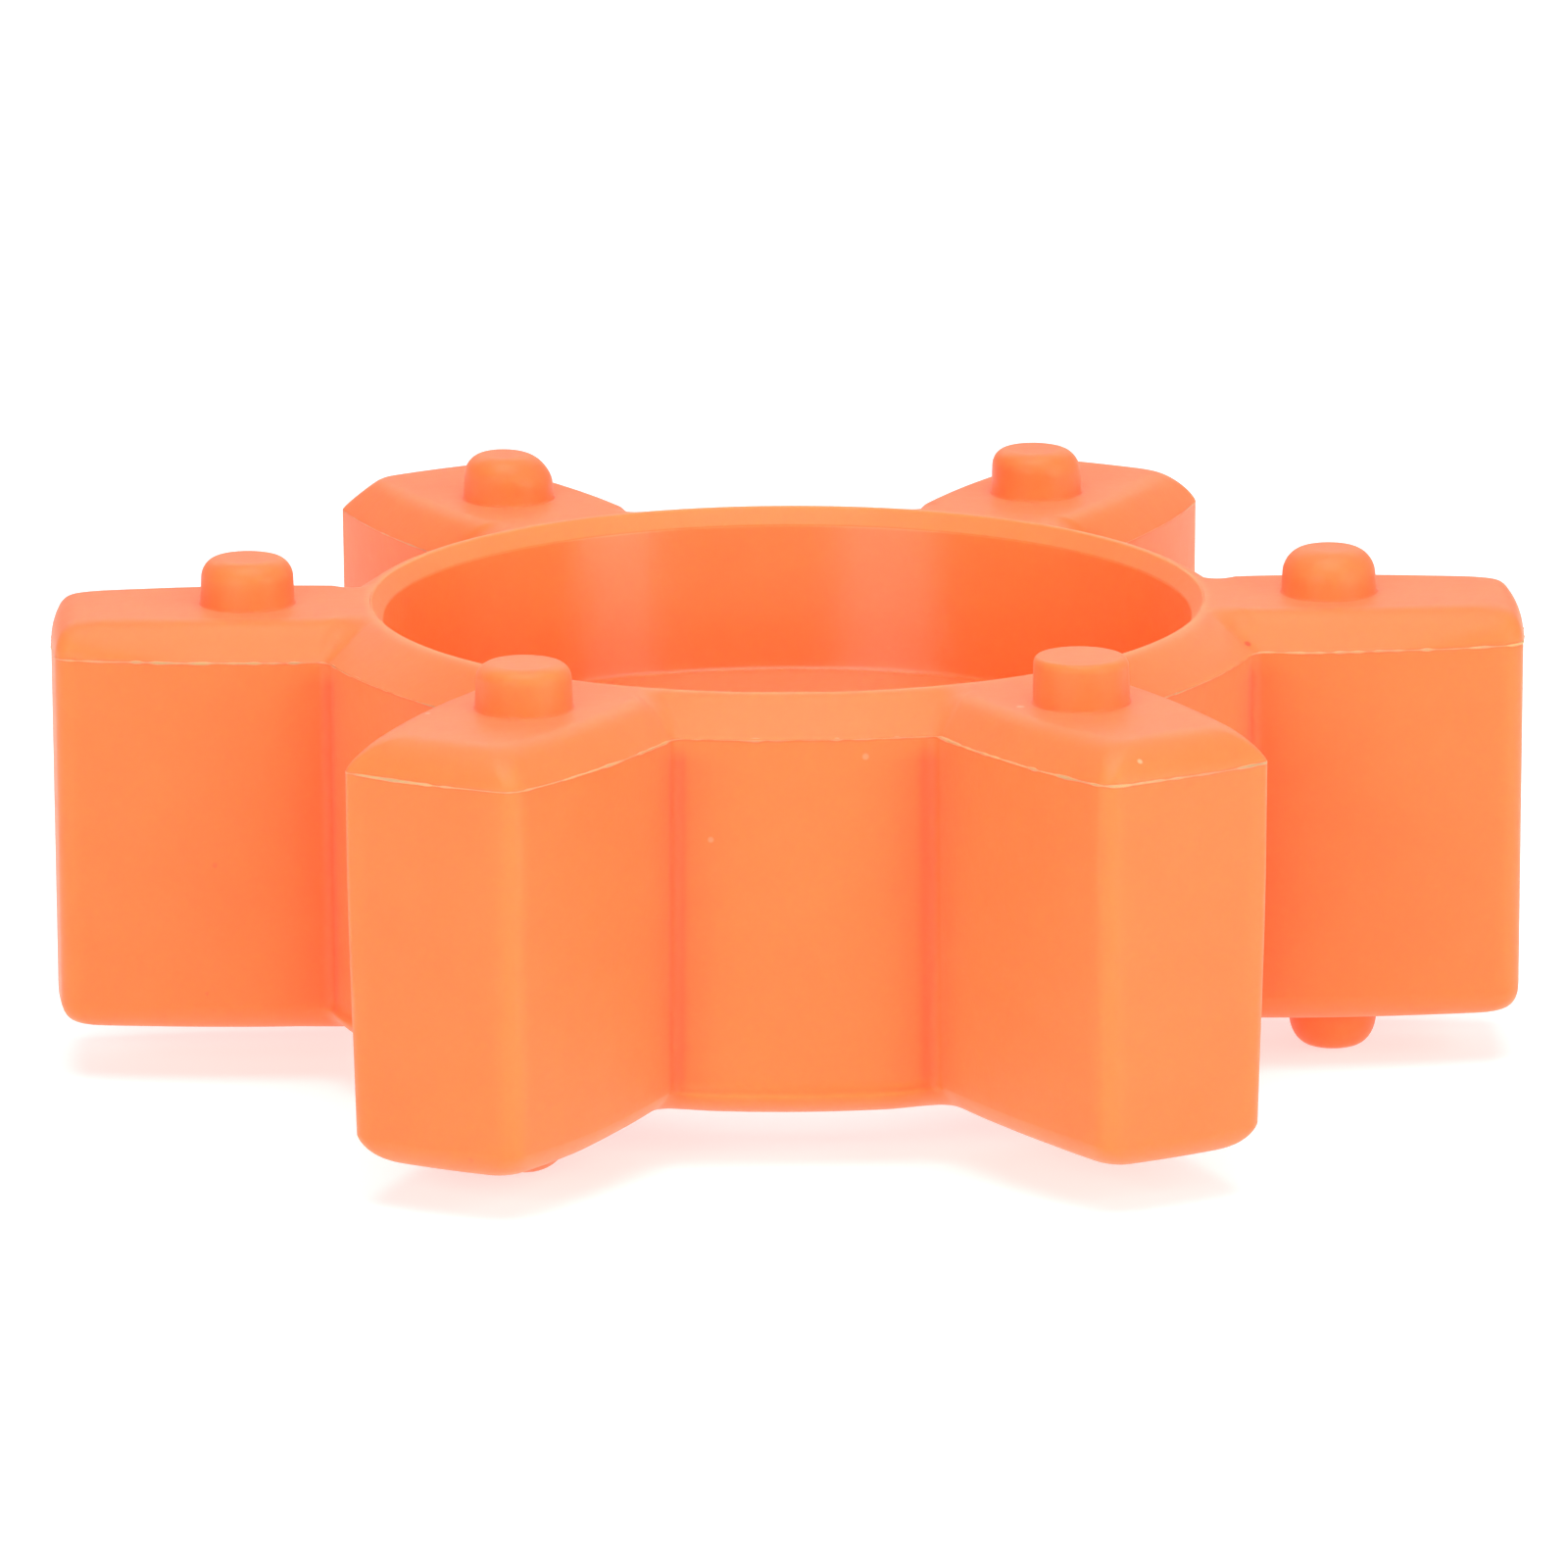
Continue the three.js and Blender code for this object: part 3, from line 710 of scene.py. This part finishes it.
# base colour with painted light: a painted highlight on corners and crest, painted shade in the hollow roots, a lighter
# painted tone on the bevel
spider.data.materials.append(polyurethane("polyurethane_orange", ORANGE, 0.44,
                                          [("painted_highlight", (0.97, 0.25, 0.06), 0.14), ("hollow", (0.93, 0.085, 0.03), 0.62),
                                           ("rim", (0.97, 0.26, 0.085), 0.50)],
                                          SPECKS))
# the bore's copy of the orange is painted lighter to brighten the bore wall; its roughness, shine and anisotropy are
# its own
spider.data.materials.append(polyurethane("polyurethane_bore", (0.95, 0.190, 0.042), 0.38, (), (), 0.0, 0.95, 1.0))
ends = np.empty(len(spider.data.vertices) * 3, np.float32)
spider.data.vertices.foreach_get("co", ends)
ends = ends.reshape(-1, 3) / MM
in_bore = (np.hypot(ends[:, 0], ends[:, 1]) < BORE_UP + 0.02) & (ends[:, 2] > Z_LOWER + 0.6)
spider.data.polygons.foreach_set("material_index", [int(all(in_bore[i] for i in f.vertices)) for f in spider.data.polygons])
flash_obj.data.materials.append(polyurethane("polyurethane_flash", (0.98, 0.31, 0.13), 0.5))

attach(spider, "root")
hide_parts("spider")
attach(flash_obj, "root")

# ------------------------------------------------------------------ stage, light, camera
floor_mesh = bpy.data.meshes.new("floor")
s = 6.0
floor_mesh.from_pydata([(-s, -s, -0.0001), (s, -s, -0.0001), (s, s, -0.0001), (-s, s, -0.0001)], [], [(0, 1, 2, 3)])
floor = bpy.data.objects.new("floor", floor_mesh)
bpy.context.scene.collection.objects.link(floor)
fm = bpy.data.materials.new("floor_white")
fm.use_nodes = True
fp = fm.node_tree.nodes["Principled BSDF"]
fp.inputs["Base Color"].default_value = (0.60, 0.60, 0.60, 1)
fp.inputs["Roughness"].default_value = 1.0
fp.inputs["Specular IOR Level"].default_value = 0.0
fp.inputs["Emission Color"].default_value = (1, 1, 1, 1)
fp.inputs["Emission Strength"].default_value = 0.55
floor_mesh.materials.append(fm)

world = bpy.data.worlds.new("studio")
world.use_nodes = True
world.node_tree.nodes["Background"].inputs["Color"].default_value = (1, 1, 1, 1)
world.node_tree.nodes["Background"].inputs["Strength"].default_value = 0.22
bpy.context.scene.world = world


def softbox(name, where, aim, size, power):
    data = bpy.data.lights.new(name, "AREA")
    data.shape = "RECTANGLE"
    data.size, data.size_y = size
    data.energy = power
    o = bpy.data.objects.new(name, data)
    bpy.context.scene.collection.objects.link(o)
    o.location = where
    o.rotation_mode = "QUATERNION"
    o.rotation_quaternion = (Vector(aim) - Vector(where)).to_track_quat("-Z", "Y")
    return o


# name, bearing from the camera side (positive to the right), height angle, distance, size, power
for name, az, el, dist, size, power in [
    ("top", 0, 80, 0.60, (0.50, 0.50), 3.10),
    ("front_left", -32, 20, 0.70, (0.34, 0.24), 1.55),
    ("front_right", 50, 20, 0.70, (0.28, 0.50), 1.90),
    ("front_low", 0, 12, 0.80, (0.60, 0.25), 3.50),
    ("left", -95, 25, 0.70, (0.40, 0.40), 0.10),
    ("right", 95, 25, 0.70, (0.40, 0.40), 0.25),
    ("back", 180, 35, 0.70, (0.80, 0.40), 1.30),
]:
    a, e = math.radians(az), math.radians(el)
    aim = Vector((0, 0, 0.012))
    lamp = softbox(name, aim + dist * Vector((math.sin(a) * math.cos(e), -math.cos(a) * math.cos(e), math.sin(e))), aim, size, power)
    lamp.visible_glossy = name != "front_low"     # a fill without a shine of its own

scene = bpy.context.scene
scene.view_settings.view_transform = "Standard"
scene.view_settings.look = "None"
scene.view_settings.exposure = 0.0
scene.view_settings.gamma = 1.0

# camera
DIST = 22.68 * 40 * MM
FOCAL_PX = 752.55 * 22.68
ELEV = math.radians(13.03)
DELTA = math.radians(1.793)
ROLL = math.radians(-0.195)
AXIS_PX = (803.4, 644.05)
target = Vector((0, 0, Z_PARTING * MM))
direction = Vector((-math.sin(-DELTA) * -1 * math.cos(ELEV), -math.cos(DELTA) * math.cos(ELEV), math.sin(ELEV)))
direction = Matrix.Rotation(-DELTA, 3, "Z") @ Vector((0, -math.cos(ELEV), math.sin(ELEV)))
eye = target + direction * DIST
cam_data = bpy.data.cameras.new("camera")
cam_data.sensor_width = 36.0
cam_data.lens = 36.0 * FOCAL_PX / 1600
cam_data.clip_start, cam_data.clip_end = 0.05, 50
cam = bpy.data.objects.new("camera", cam_data)
scene.collection.objects.link(cam)
cam.rotation_mode = "QUATERNION"
look = (target - eye).to_track_quat("-Z", "Y")
m = look.to_matrix() @ Matrix.Rotation(ROLL, 3, "Z")
# the axis lands off the frame's middle: shift the frame, which keeps the perspective
cam_data.shift_x = -(AXIS_PX[0] - 800) / 1600
cam_data.shift_y = (AXIS_PX[1] - 800) / 1600
cam.location = eye
cam.rotation_quaternion = m.to_quaternion()
scene.camera = cam
